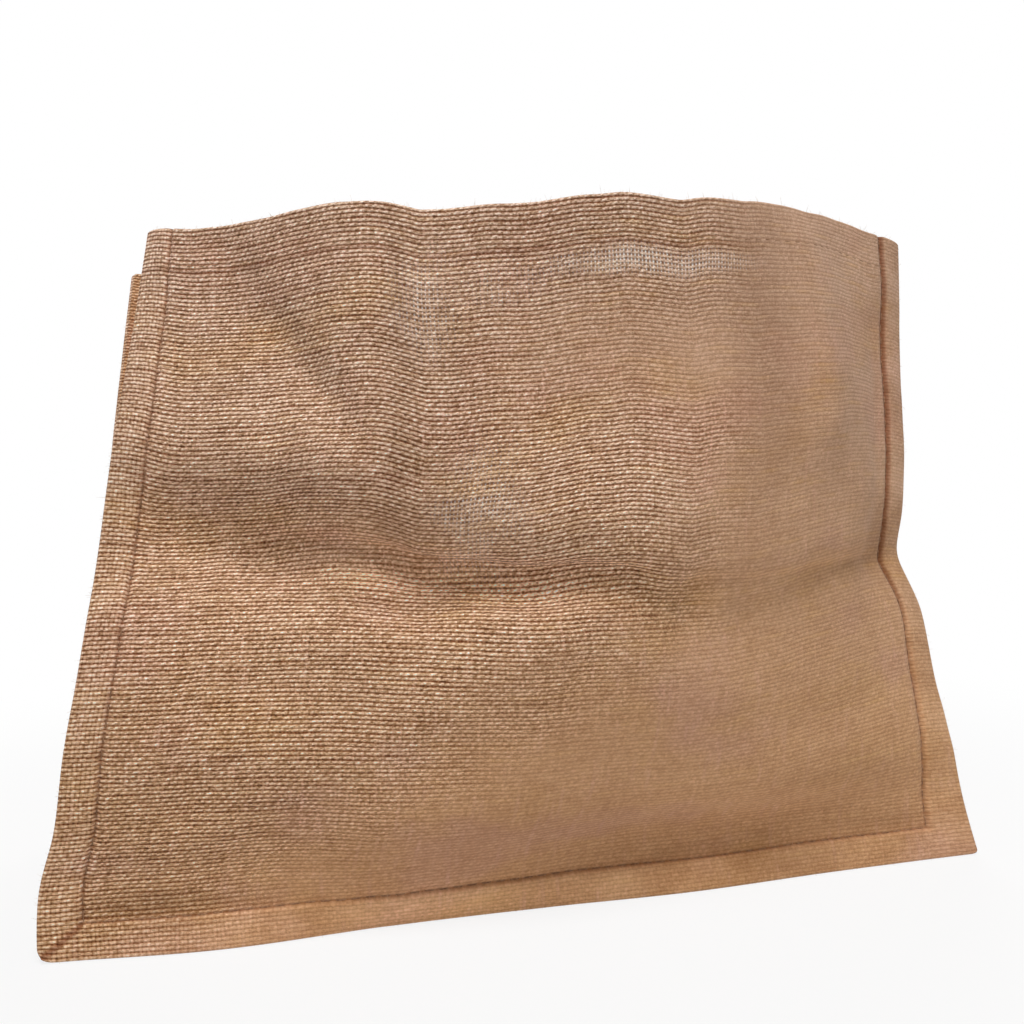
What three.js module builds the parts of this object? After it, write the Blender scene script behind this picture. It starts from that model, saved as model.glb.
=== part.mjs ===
// A jute shopping bag without handles, standing open on its base.
// Millimetres, +Z up. The origin is the middle of the base on the surface that the bag stands on;
// the front panel faces -Y and the mouth is at the top.
//
// The bag is sewn from three pieces of cloth: a front panel, a back panel, and one long strip, the
// gusset, that runs down one side, under the base and up the other side. The seams are turned
// outwards, so each panel has a flat flange outside its stitching, and the gusset has a narrow lip
// that lies against the inside of that flange. The mouth is hemmed to the inside.

import * as THREE from "three";

// Cut sizes of the cloth.
const PANEL_WIDTH = 420; // between the two side seams
const PANEL_HEIGHT = 330; // from the bottom seam to the mouth
const GUSSET_WIDTH = 190; // between the front and the back seam
const SEAM_ALLOWANCE = 16; // the flange outside the stitching
const HEM_DEPTH = 21; // folded inside at the mouth
const CLOTH = 1.2; // one layer
const FIT_GAP = 0.5; // left between two pieces that are sewn together, where they are flat

// Sizes that follow from them.
const EDGE_LEFT = -SEAM_ALLOWANCE;
const EDGE_RIGHT = PANEL_WIDTH + SEAM_ALLOWANCE;
const OUTER_WIDTH = EDGE_RIGHT - EDGE_LEFT;
const OUTER_HEIGHT = PANEL_HEIGHT + SEAM_ALLOWANCE;
const HALF_WIDTH = OUTER_WIDTH / 2;
const HALF_DEPTH = GUSSET_WIDTH / 2;
const HALF_CLOTH = CLOTH / 2;

// How the standing cloth is measured: "up" is the length of cloth above the surface, "across" the
// length of cloth from the left seam. In a section, insetLeft and insetRight say how far the two
// outer edges have moved in from their place at the base, and out lists how far the cloth stands
// out from the base line, at equal steps from the left edge to the right one.
const FRONT_SECTIONS = [
  { up: 0, insetLeft: 0, insetRight: 0, out: [-4, 4, 0, 0, 2, -2, -4] },
  { up: 30, insetLeft: 0, insetRight: 0, out: [-8, -4, 8, 4, -8, -8, -10] },
  { up: 60, insetLeft: 7, insetRight: 1, out: [-5, 0, 20, 20, 10, 5, -15] },
  { up: 95, insetLeft: 12, insetRight: 3, out: [-5, 5, 25, 30, 20, 5, -25] },
  { up: 130, insetLeft: 19, insetRight: 5, out: [-10, -5, 30, 35, 30, 5, -30] },
  { up: 160, insetLeft: 24, insetRight: 14, out: [-15, -5, 30, 40, 40, 15, -25] },
  { up: 200, insetLeft: 30, insetRight: 14, out: [-30, -15, 25, 40, 35, 10, -30] },
  { up: 260, insetLeft: 40, insetRight: 14, out: [-50, -20, 20, 25, 30, 5, -35] },
  { up: 346, insetLeft: 54, insetRight: 16, out: [-65, -20, 15, 25, 25, -5, -35] },
];

const BACK_SECTIONS = [
  { up: 0, insetLeft: 0, insetRight: 0, out: [0, 0, 0, 0, 0] },
  { up: 50, insetLeft: 2, insetRight: 1, out: [5, 10, 10, 10, 5] },
  { up: 110, insetLeft: 5, insetRight: 4, out: [15, 40, 45, 40, 20] },
  { up: 175, insetLeft: 10, insetRight: 9, out: [30, 65, 75, 60, 25] },
  { up: 240, insetLeft: 17, insetRight: 10, out: [45, 90, 105, 80, 25] },
  { up: 346, insetLeft: 30, insetRight: 13, out: [75, 130, 135, 100, 30] },
];

// Creases and soft folds: straight lines on the flat cloth, from one place to another, each a
// trough (depth above zero) or a ridge (depth below zero) that fades over its reach.
const FRONT_FOLDS = [
  { name: "half fold, left", from: [20, 200], to: [135, 155], depth: 20, reach: 20 },
  { name: "half fold, middle", from: [140, 175], to: [265, 160], depth: 20, reach: 12 },
  { name: "half fold, right", from: [305, 155], to: [436, 165], depth: 15, reach: 12 },
  { name: "brow over the half fold", from: [-16, 240], to: [100, 230], depth: -20, reach: 25 },
  { name: "shelf under the half fold", from: [10, 130], to: [235, 160], depth: -10, reach: 15 },
  { name: "valley below the mouth", from: [35, 310], to: [125, 225], depth: 5, reach: 10 },
  { name: "upright dent", from: [115, 346], to: [140, 205], depth: 3, reach: 8 },
  { name: "ridge across the belly", from: [245, 170], to: [40, 50], depth: -3, reach: 10 },
  { name: "pleat at the right", from: [350, 330], to: [350, 240], depth: -5, reach: 10 },
  { name: "tuck under the brow", from: [80, 210], to: [130, 200], depth: 3, reach: 8 },
  { name: "hollow beside the right seam", from: [410, 290], to: [405, 155], depth: 3, reach: 8 },
];

const BACK_FOLDS = [
  { name: "half fold", from: [-16, 171], to: [436, 171], depth: 6, reach: 16 },
  { name: "pleat", from: [300, 346], to: [270, 210], depth: -5, reach: 26 },
];

// The right-hand side seam was sewn with the front panel eased in above the half fold.
const EASE = { share: 0.09, fromAcross: 300, fromUp: 150, overUp: 40 };
const NO_EASE = { ...EASE, share: 0 };

// How much wider than the seam allowance the side flanges are at the base, and how far up that
// is felt.
const FRONT_FLARE = { left: 5, right: 12, fade: 55 };
const BACK_FLARE = { left: 3, right: 4, fade: 55 };

// The gusset between its seams.
const LIP_MARGIN = 0.5; // its cut edge ends this far inside the flange's edge
const TURN_IN = 0.6; // where it turns at the stitching, measured along the panel
const TURN_DEPTH = 5.5; // and behind the panel
const BASE_RISE_SHARE = 0.2; // the part of its width over which the base drops to the surface
const SAG_FADE = 110; // how far up the sides that drop is felt
const BOW_FADE = 30; // how far up the base holds the sides straight
const BOW_START = 0.01; // the share of spare width that the sides take up before they bow fully

// Fineness of the solids.
const LAY_STEP = 2; // the spacing at which the cloth is laid out
const PANEL_COLUMNS = 22;
const ROWS_BELOW_FOLD = 7;
const ROWS_ABOVE_FOLD = 7;
const FOLD_ROWS = [148, 156, 163, 170, 177, 185, 194, 205];
const WALL_STEPS = [0.04, 0.13, 0.22, 0.3, 0.7, 0.78, 0.87, 0.96];
const SEAM_RAMP = 1.5; // half the width over which doubled cloth thins to one layer

const JUTE = { color: "#a58369", roughness: 0.95, metalness: 0 };

const smooth = (t) => {
  const c = THREE.MathUtils.clamp(t, 0, 1);
  return c * c * (3 - 2 * c);
};

// A smooth curve through values that are given at increasing knots.
function curveThrough(knots, values, at) {
  const last = knots.length - 1;
  let i = 0;
  while (i < last - 1 && at > knots[i + 1]) i += 1;
  const slope = (k) => {
    const lo = Math.max(k - 1, 0);
    const hi = Math.min(k + 1, last);
    return (values[hi] - values[lo]) / (knots[hi] - knots[lo]);
  };
  const span = knots[i + 1] - knots[i];
  const t = THREE.MathUtils.clamp((at - knots[i]) / span, 0, 1);
  const u = 1 - t;
  return (
    (1 + 2 * t) * u * u * values[i] +
    t * u * u * span * slope(i) +
    t * t * (3 - 2 * t) * values[i + 1] -
    t * t * u * span * slope(i + 1)
  );
}

// How far a fold pushes the cloth in at a place, given as [across, up].
function foldDepth(fold, across, up) {
  const [a0, u0] = fold.from;
  const da = fold.to[0] - a0;
  const du = fold.to[1] - u0;
  const length = Math.hypot(da, du);
  const along = ((across - a0) * da + (up - u0) * du) / length;
  const beside = Math.abs((across - a0) * du - (up - u0) * da) / length;
  const beyond = Math.max(0, -along, along - length);
  const away = Math.hypot(beside, beyond);
  return fold.depth * Math.exp(-away / fold.reach) * (1 + away / fold.reach);
}

// One panel, laid out at LAY_STEP over the whole cloth with its lengths kept along the rows and up
// the columns. facing is -1 for the front panel and 1 for the back one.
class StandingPanel {
  constructor(sections, folds, facing, ease, flare) {
    this.sections = sections;
    this.folds = folds;
    this.facing = facing;
    this.ease = ease;
    this.flare = flare;
    this.heights = sections.map((section) => section.up);
    this.columns = Math.round(OUTER_WIDTH / LAY_STEP);
    this.rows = Math.round(OUTER_HEIGHT / LAY_STEP);
    this.layRows();
    this.widenFlanges();
    this.raiseColumns();
  }

  edge(name, up) {
    return curveThrough(this.heights, this.sections.map((section) => section[name]), up);
  }

  layRows() {
    this.points = [];
    for (let r = 0; r <= this.rows; r += 1) {
      const up = r * LAY_STEP;
      const profile = this.sections[0].out.map((_, k) =>
        curveThrough(this.heights, this.sections.map((section) => section.out[k]), up),
      );
      const knots = profile.map((_, k) => (k * this.columns) / (profile.length - 1));
      const row = [];
      let run = 0;
      for (let c = 0; c <= this.columns; c += 1) {
        const across = EDGE_LEFT + c * LAY_STEP;
        let out = curveThrough(knots, profile, c);
        const settled = smooth((up - SEAM_ALLOWANCE) / SEAM_ALLOWANCE);
        for (const fold of this.folds) out -= settled * foldDepth(fold, across, up);
        const y = this.facing * (HALF_DEPTH + out);
        if (c > 0) {
          const dy = y - row[c - 1].y;
          run += Math.sqrt(Math.max(LAY_STEP * LAY_STEP - dy * dy, 0));
        }
        row.push(new THREE.Vector3(run, y, 0));
      }
      const left = -HALF_WIDTH + this.edge("insetLeft", up);
      const right = HALF_WIDTH - this.edge("insetRight", up);
      for (const point of row) point.x = left + (point.x * (right - left)) / run;
      this.points.push(row);
    }
  }

  widenFlanges() {
    const { left, right, fade } = this.flare;
    this.points.forEach((row, r) => {
      const felt = Math.exp((-r * LAY_STEP) / fade);
      row.forEach((point, c) => {
        const across = EDGE_LEFT + c * LAY_STEP;
        const pastLeft = Math.max(-across, 0) / SEAM_ALLOWANCE;
        const pastRight = Math.max(across - PANEL_WIDTH, 0) / SEAM_ALLOWANCE;
        point.x += felt * (right * pastRight - left * pastLeft);
      });
    });
  }

  raiseColumns() {
    const { share, fromAcross, fromUp, overUp } = this.ease;
    for (let c = 0; c <= this.columns; c += 1) {
      const across = EDGE_LEFT + c * LAY_STEP;
      const eased = share * smooth((across - fromAcross) / (EDGE_RIGHT - fromAcross));
      for (let r = 1; r <= this.rows; r += 1) {
        const below = this.points[r - 1][c];
        const point = this.points[r][c];
        const rise = LAY_STEP * (1 - eased * smooth((r * LAY_STEP - fromUp) / overUp));
        const flat = Math.hypot(point.x - below.x, point.y - below.y);
        point.z = below.z + Math.sqrt(Math.max(rise * rise - flat * flat, 0));
      }
    }
  }

  // The middle of the cloth at a place on it.
  at(across, up) {
    const c = THREE.MathUtils.clamp((across - EDGE_LEFT) / LAY_STEP, 0, this.columns);
    const r = THREE.MathUtils.clamp(up / LAY_STEP, 0, this.rows);
    const c0 = Math.min(Math.floor(c), this.columns - 1);
    const r0 = Math.min(Math.floor(r), this.rows - 1);
    const low = this.points[r0][c0].clone().lerp(this.points[r0][c0 + 1], c - c0);
    const high = this.points[r0 + 1][c0].clone().lerp(this.points[r0 + 1][c0 + 1], c - c0);
    return low.lerp(high, r - r0);
  }

  // The direction out of the bag there.
  outward(across, up) {
    const reach = 2 * LAY_STEP;
    const alongRow = this.at(across + reach, up).sub(this.at(across - reach, up));
    const alongColumn = this.at(across, up + reach).sub(this.at(across, up - reach));
    return alongRow.cross(alongColumn).multiplyScalar(-this.facing).normalize();
  }

  // A point of the panel's own surface or of what lies behind it.
  behind(across, up, depth) {
    return this.at(across, up).addScaledVector(this.outward(across, up), -depth);
  }
}

// A closed sheet between two grids of points, one for each face. The first face looks along the
// cross product of its rows' direction with its columns' direction. Each square is split from its
// first corner to the opposite one, or the other way where it is crossed.
function sheetGeometry(face, back, crossed = () => false) {
  const rows = face.length;
  const columns = face[0].length;
  const positions = [];
  for (const grid of [face, back]) {
    for (const row of grid) {
      for (const point of row) positions.push(point.x, point.y, point.z);
    }
  }
  const index = (side, r, c) => (side * rows + r) * columns + c;
  const triangles = [];
  const quad = (a, b, c, d) => triangles.push(a, b, c, a, c, d);
  for (let r = 0; r < rows - 1; r += 1) {
    for (let c = 0; c < columns - 1; c += 1) {
      const loop = [[r, c], [r, c + 1], [r + 1, c + 1], [r + 1, c]];
      if (crossed(r, c)) loop.push(loop.shift());
      quad(...loop.map(([i, j]) => index(0, i, j)));
      const [first, ...others] = loop;
      quad(...[first, ...others.reverse()].map(([i, j]) => index(1, i, j)));
    }
  }
  const rim = [];
  for (let c = 0; c < columns; c += 1) rim.push([0, c]);
  for (let r = 1; r < rows; r += 1) rim.push([r, columns - 1]);
  for (let c = columns - 2; c >= 0; c -= 1) rim.push([rows - 1, c]);
  for (let r = rows - 2; r >= 1; r -= 1) rim.push([r, 0]);
  rim.forEach(([r, c], k) => {
    const [nr, nc] = rim[(k + 1) % rim.length];
    quad(index(0, r, c), index(1, r, c), index(1, nr, nc), index(0, nr, nc));
  });
  const geometry = new THREE.BufferGeometry();
  geometry.setAttribute("position", new THREE.Float32BufferAttribute(positions, 3));
  geometry.setIndex(triangles);
  geometry.computeVertexNormals();
  return geometry;
}

function clothMesh(name, geometry) {
  const mesh = new THREE.Mesh(geometry, new THREE.MeshStandardMaterial(JUTE));
  mesh.name = name;
  return mesh;
}

// Equal steps from one value to another, both ends included.
function steps(from, to, count) {
  return Array.from({ length: count + 1 }, (_, k) => from + ((to - from) * k) / count);
}

// Where the solids have their columns and rows. The gusset uses the same ones along its seams, so
// that the facets of the two pieces run side by side.
const acrossSeams = steps(SEAM_RAMP, PANEL_WIDTH - SEAM_RAMP, PANEL_COLUMNS);
const upToMouth = [
  ...steps(SEAM_ALLOWANCE + SEAM_RAMP, FOLD_ROWS[0], ROWS_BELOW_FOLD).slice(0, -1),
  ...FOLD_ROWS,
  ...steps(FOLD_ROWS.at(-1), OUTER_HEIGHT - HEM_DEPTH - SEAM_RAMP, ROWS_ABOVE_FOLD).slice(1),
  OUTER_HEIGHT - HEM_DEPTH,
  OUTER_HEIGHT,
];
const panelColumns = [EDGE_LEFT, -SEAM_RAMP, ...acrossSeams, PANEL_WIDTH + SEAM_RAMP, EDGE_RIGHT];
const panelRows = [0, SEAM_ALLOWANCE - SEAM_RAMP, ...upToMouth];

// The flanges and the hem are two layers thick, the second one turned to the inside.
function innerDepth(across, up) {
  const inFlange = across < 0 || across > PANEL_WIDTH || up < SEAM_ALLOWANCE;
  const inHem = up >= OUTER_HEIGHT - HEM_DEPTH;
  return inFlange || inHem ? HALF_CLOTH + CLOTH : HALF_CLOTH;
}

function panelMesh(name, panel) {
  const grid = (depthAt) =>
    panelRows.map((up) =>
      panelColumns.map((across) => {
        const point = panel.behind(across, up, depthAt(across, up));
        point.z = up === 0 ? 0 : Math.max(point.z, 0);
        return point;
      }),
    );
  const outside = grid(() => -HALF_CLOTH);
  const inside = grid(innerDepth);
  const front = panel.facing < 0;
  return clothMesh(name, front ? sheetGeometry(outside, inside) : sheetGeometry(inside, outside));
}

// One station along the gusset: where its lip ends, where it starts and where the cloth turns, as
// places on the panels, which way it bows, and how much of the base's drop it feels. At the base
// itself the cloth comes down to the surface.
function gussetStations() {
  const lipStart = SEAM_RAMP - LIP_MARGIN;
  const lipEnd = SEAM_ALLOWANCE - LIP_MARGIN;
  const side = (atSeam, sign, up) => ({
    end: [atSeam + sign * lipEnd, up],
    start: [atSeam + sign * lipStart, up],
    turn: [atSeam - sign * TURN_IN, up],
    drop: Math.exp(-(up - SEAM_ALLOWANCE) / SAG_FADE),
    settled: false,
    inward: -sign * (1 - Math.exp(-(up - SEAM_ALLOWANCE) / BOW_FADE)),
  });
  const corner = (atSeam, sign) => ({
    end: [atSeam + sign * lipEnd, SEAM_ALLOWANCE - lipEnd],
    start: [atSeam + sign * lipStart, SEAM_ALLOWANCE - lipStart],
    turn: [atSeam - sign * TURN_IN, SEAM_ALLOWANCE + TURN_IN],
    drop: 1,
    settled: true,
    inward: 0,
  });
  const base = (across) => ({
    end: [across, SEAM_ALLOWANCE - lipEnd],
    start: [across, SEAM_ALLOWANCE - lipStart],
    turn: [across, SEAM_ALLOWANCE + TURN_IN],
    drop: 1,
    settled: true,
    inward: 0,
  });
  return [
    ...upToMouth.toReversed().map((up) => side(0, -1, up)),
    corner(0, -1),
    ...acrossSeams.map((across) => base(across)),
    corner(PANEL_WIDTH, 1),
    ...upToMouth.map((up) => side(PANEL_WIDTH, 1, up)),
  ];
}

// The cloth of the gusset between its two turns, at one station: it hangs in a shallow bow when
// the seams are closer than the strip is wide, and it drops to the surface between them.
function wallPoints(station, from, to) {
  const chord = from.distanceTo(to);
  const width = GUSSET_WIDTH - 2 * TURN_DEPTH;
  const spare = Math.max(width / chord - 1, 0);
  const bow = station.inward * chord * Math.sqrt(3 / 8) * (spare / Math.sqrt(spare + BOW_START));
  const fullDrop = SEAM_ALLOWANCE + TURN_IN - HALF_CLOTH;
  return WALL_STEPS.map((t) => {
    const point = from.clone().lerp(to, t);
    const fromSeam = Math.min(t, 1 - t);
    const fall = station.settled ? point.z - HALF_CLOTH : fullDrop * station.drop;
    point.x += bow * 4 * t * (1 - t);
    point.z -= fall * smooth(fromSeam / BASE_RISE_SHARE);
    return point;
  });
}

function gussetMesh(name, front, back) {
  const lipDepth = HALF_CLOTH + CLOTH + FIT_GAP + HALF_CLOTH;
  const middle = gussetStations().map((station) => {
    const seam = (panel) => [
      panel.behind(...station.end, lipDepth),
      panel.behind(...station.start, lipDepth),
      panel.behind(...station.turn, TURN_DEPTH),
    ];
    const [frontEnd, frontStart, frontTurn] = seam(front);
    const [backEnd, backStart, backTurn] = seam(back);
    const wall = wallPoints(station, frontTurn, backTurn);
    return [frontEnd, frontStart, frontTurn, ...wall, backTurn, backStart, backEnd];
  });
  const lastRow = middle.length - 1;
  const lastColumn = middle[0].length - 1;
  const outwardAt = (r, c) => {
    const rowStep = middle[r][Math.min(c + 1, lastColumn)].clone();
    rowStep.sub(middle[r][Math.max(c - 1, 0)]);
    const columnStep = middle[Math.min(r + 1, lastRow)][c].clone();
    columnStep.sub(middle[Math.max(r - 1, 0)][c]);
    return rowStep.cross(columnStep).normalize();
  };
  const offset = (distanceAt) =>
    middle.map((row, r) =>
      row.map((point, c) => {
        const moved = point.clone().addScaledVector(outwardAt(r, c), distanceAt(r, c));
        moved.z = Math.max(moved.z, 0);
        return moved;
      }),
    );
  const inHem = (r) => r <= 1 || r >= lastRow - 1;
  const inWall = (c) => c > 2 && c < lastColumn - 2;
  const outside = offset(() => HALF_CLOTH);
  const inside = offset((r, c) => (inHem(r) && inWall(c) ? -HALF_CLOTH - CLOTH : -HALF_CLOTH));
  const sideRows = upToMouth.length;
  const onSide = (r) => r < sideRows || r >= lastRow - sideRows;
  const crossed = (r, c) => (onSide(r) ? c < 2 : c >= lastColumn - 2);
  return clothMesh(name, sheetGeometry(outside, inside, crossed));
}

const frontPanel = new StandingPanel(FRONT_SECTIONS, FRONT_FOLDS, -1, EASE, FRONT_FLARE);
const backPanel = new StandingPanel(BACK_SECTIONS, BACK_FOLDS, 1, NO_EASE, BACK_FLARE);

const bag = new THREE.Group();
bag.name = "bag";
bag.add(panelMesh("front_panel", frontPanel));
bag.add(panelMesh("back_panel", backPanel));
bag.add(gussetMesh("gusset", frontPanel, backPanel));

export default bag;
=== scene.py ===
"""A jute shopping bag without handles, standing open on its base.

The bag is sewn from a front panel, a back panel and one long gusset. Cloth is measured in
millimetres as it was cut: "across" runs from the left seam to the right one and "up" from the edge
that stands on the surface to the mouth. Blender's objects are in metres.
"""

import logging
import math
from collections.abc import Sequence
from dataclasses import dataclass, field
from enum import Enum

import bpy
import numpy as np
from mathutils import Matrix, Vector


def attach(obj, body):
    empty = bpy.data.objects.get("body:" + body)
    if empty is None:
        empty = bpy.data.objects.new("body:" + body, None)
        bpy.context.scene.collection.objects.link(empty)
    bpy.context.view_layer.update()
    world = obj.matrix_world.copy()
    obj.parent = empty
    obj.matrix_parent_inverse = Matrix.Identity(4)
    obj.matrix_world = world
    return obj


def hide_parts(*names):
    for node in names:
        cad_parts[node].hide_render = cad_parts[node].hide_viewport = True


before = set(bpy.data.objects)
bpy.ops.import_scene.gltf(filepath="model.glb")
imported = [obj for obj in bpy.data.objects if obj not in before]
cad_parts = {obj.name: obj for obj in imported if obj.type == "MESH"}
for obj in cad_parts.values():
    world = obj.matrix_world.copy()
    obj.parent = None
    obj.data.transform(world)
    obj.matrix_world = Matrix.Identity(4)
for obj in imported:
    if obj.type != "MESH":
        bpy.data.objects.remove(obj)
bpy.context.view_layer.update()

LOG = logging.getLogger("jute_bag")
METRES = 0.001
CLOTH_MAP = "cloth"

Grid = np.ndarray
Pair = tuple[float, float]
Triple = tuple[float, float, float]
Row = tuple[float, ...]
Colour = tuple[float, float, float, float]


class Facing(Enum):
    """Which way a panel looks out of the bag, along Y."""

    FRONT = -1
    BACK = 1


class Held(Enum):
    """How a sheet of cloth is held."""

    STRETCHED = "stretched"
    HUNG = "hung"


# ---- the cut cloth


@dataclass(frozen=True)
class Cut:
    """The sizes that the cloth was cut and sewn to, in millimetres."""

    panel_width: float = 420.0
    panel_height: float = 330.0
    gusset_width: float = 190.0
    seam_allowance: float = 16.0
    hem_depth: float = 21.0
    cloth: float = 1.2
    fit_gap: float = 0.5
    lay_step: float = 2.0

    @property
    def left(self) -> float:
        """Where the left flange ends."""
        return -self.seam_allowance

    @property
    def right(self) -> float:
        """Where the right flange ends."""
        return self.panel_width + self.seam_allowance

    @property
    def top(self) -> float:
        """Where the mouth is."""
        return self.panel_height + self.seam_allowance

    @property
    def half_width(self) -> float:
        """From the middle of the bag to the end of a side flange, at the base."""
        return (self.right - self.left) / 2

    @property
    def half_cloth(self) -> float:
        """From the middle of the cloth to its face."""
        return self.cloth / 2


def smooth(t: Grid) -> Grid:
    """A soft step from 0 to 1 as t goes from 0 to 1."""
    c = np.clip(t, 0.0, 1.0)
    return c * c * (3 - 2 * c)


def unit(vectors: Grid) -> Grid:
    """Vectors of length 1 in the same directions."""
    return vectors / np.linalg.norm(vectors, axis=-1, keepdims=True)


def curve_through(knots: Grid, values: Grid, at: Grid) -> Grid:
    """A smooth curve through values that are given at increasing knots.

    Args:
        knots: where the values are, increasing.
        values: one row for each knot.
        at: where the curve is wanted.

    Returns:
        One row for each place.
    """
    last = len(knots) - 1
    order = np.arange(last + 1)
    low, high = np.maximum(order - 1, 0), np.minimum(order + 1, last)
    spread = (-1,) + (1,) * (values.ndim - 1)
    slopes = (values[high] - values[low]) / (knots[high] - knots[low]).reshape(spread)
    i = np.clip(np.searchsorted(knots, at, side="left") - 1, 0, last - 1)
    span = (knots[i + 1] - knots[i]).reshape(spread)
    t = np.clip((at - knots[i]).reshape(spread) / span, 0.0, 1.0)
    u = 1 - t
    return (
        (1 + 2 * t) * u * u * values[i]
        + t * u * u * span * slopes[i]
        + t * t * (3 - 2 * t) * values[i + 1]
        - t * t * u * span * slopes[i + 1]
    )


@dataclass(frozen=True)
class Section:
    """The standing cloth at one height.

    Its outer edges have moved in by inset, and it stands out from the base line by out, at equal
    steps from the left edge to the right one.
    """

    up: float
    inset: Pair
    out: Row


@dataclass(frozen=True)
class Line:
    """A named straight line on the cloth."""

    name: str
    start: Pair
    end: Pair

    def measure(self, across: Grid, up: Grid) -> tuple[Grid, Grid, float]:
        """Where places lie against the line.

        Args:
            across: places across the cloth.
            up: places up the cloth, of the same shape.

        Returns:
            How far along the line and how far to its left each place is, and the line's length.
        """
        run, rise = self.end[0] - self.start[0], self.end[1] - self.start[1]
        off_a, off_u = across - self.start[0], up - self.start[1]
        length = math.hypot(run, rise)
        return (off_a * run + off_u * rise) / length, (off_u * run - off_a * rise) / length, length


@dataclass(frozen=True)
class Fold(Line):
    """A straight trough in the cloth, or a ridge where depth is below zero."""

    depth: float
    reach: float

    def depth_at(self, across: Grid, up: Grid) -> Grid:
        """How far the fold pushes the cloth in.

        Args:
            across: places across the cloth.
            up: places up the cloth, of the same shape.

        Returns:
            The depth at each place.
        """
        along, left, length = self.measure(across, up)
        beyond = np.maximum(0.0, np.maximum(-along, along - length))
        away = np.hypot(left, beyond) / self.reach
        return self.depth * np.exp(-away) * (1 + away)


@dataclass(frozen=True)
class Crease(Line):
    """A tight crease along a straight line, with its own width on each side."""

    depth: float
    above: float
    below: float

    def depth_at(self, across: Grid, up: Grid) -> Grid:
        """How far the crease pulls the cloth in.

        Args:
            across: places across the cloth.
            up: places up the cloth, of the same shape.

        Returns:
            The depth at each place.
        """
        along, left, length = self.measure(across, up)
        share = along / length
        width = np.where(left > 0, self.above, self.below)
        ends = smooth((share + 0.1) / 0.2) * smooth((1.1 - share) / 0.2)
        return self.depth * np.exp(-((left / width) ** 2)) * ends


@dataclass(frozen=True)
class Ease:
    """Cloth that was eased into the right-hand side seam, so that it rises less there."""

    share: float = 0.0
    from_across: float = 300.0
    from_up: float = 150.0
    over_up: float = 40.0


@dataclass(frozen=True)
class Flare:
    """How much wider than the seam allowance the side flanges are at the base."""

    left: float = 0.0
    right: float = 0.0
    fade: float = 55.0


@dataclass(frozen=True)
class Groove:
    """How deep the stitching pulls the cloth in along one seam, and how wide on each side."""

    depth: float
    width: float
    inner_width: float


@dataclass(frozen=True)
class Seams:
    """The three seams of a panel, and how the cloth beside them is gathered."""

    left: Groove = Groove(1.4, 1.0, 1.6)
    bottom: Groove = Groove(2.3, 0.9, 10.0)
    right: Groove = Groove(2.0, 1.4, 2.6)
    plump: float = 0.5
    pucker: float = 0.45
    pucker_reach: float = 9.0
    left_corner_round: float = 6.0
    right_corner_round: float = 2.5
    mouth_round: float = 3.0


@dataclass(frozen=True)
class Unevenness:
    """Smooth random waves in cloth, the same on each run."""

    seed: int
    height: float
    spacing: float

    def over(self, across: Grid, up: Grid) -> Grid:
        """The waves at each crossing of the given columns and rows.

        Args:
            across: the columns' places, increasing.
            up: the rows' places, increasing.

        Returns:
            One row of heights for each place in up.
        """
        rng = np.random.default_rng(self.seed)
        column_knots = np.arange(across[0], across[-1] + 2 * self.spacing, self.spacing)
        row_knots = np.arange(up[0], up[-1] + 2 * self.spacing, self.spacing)
        heights = rng.uniform(-1, 1, (len(row_knots), len(column_knots))) * self.height
        rows = curve_through(row_knots, heights, up)
        return curve_through(column_knots, rows.T, across).T


@dataclass(frozen=True)
class Stance:
    """How one panel stands, and how it was gathered as it was sewn."""

    facing: Facing
    flare: Flare
    ease: Ease
    waves: tuple[Unevenness, ...]
    sections: tuple[Section, ...]
    folds: tuple[Fold, ...]
    creases: tuple[Crease, ...] = ()


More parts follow.
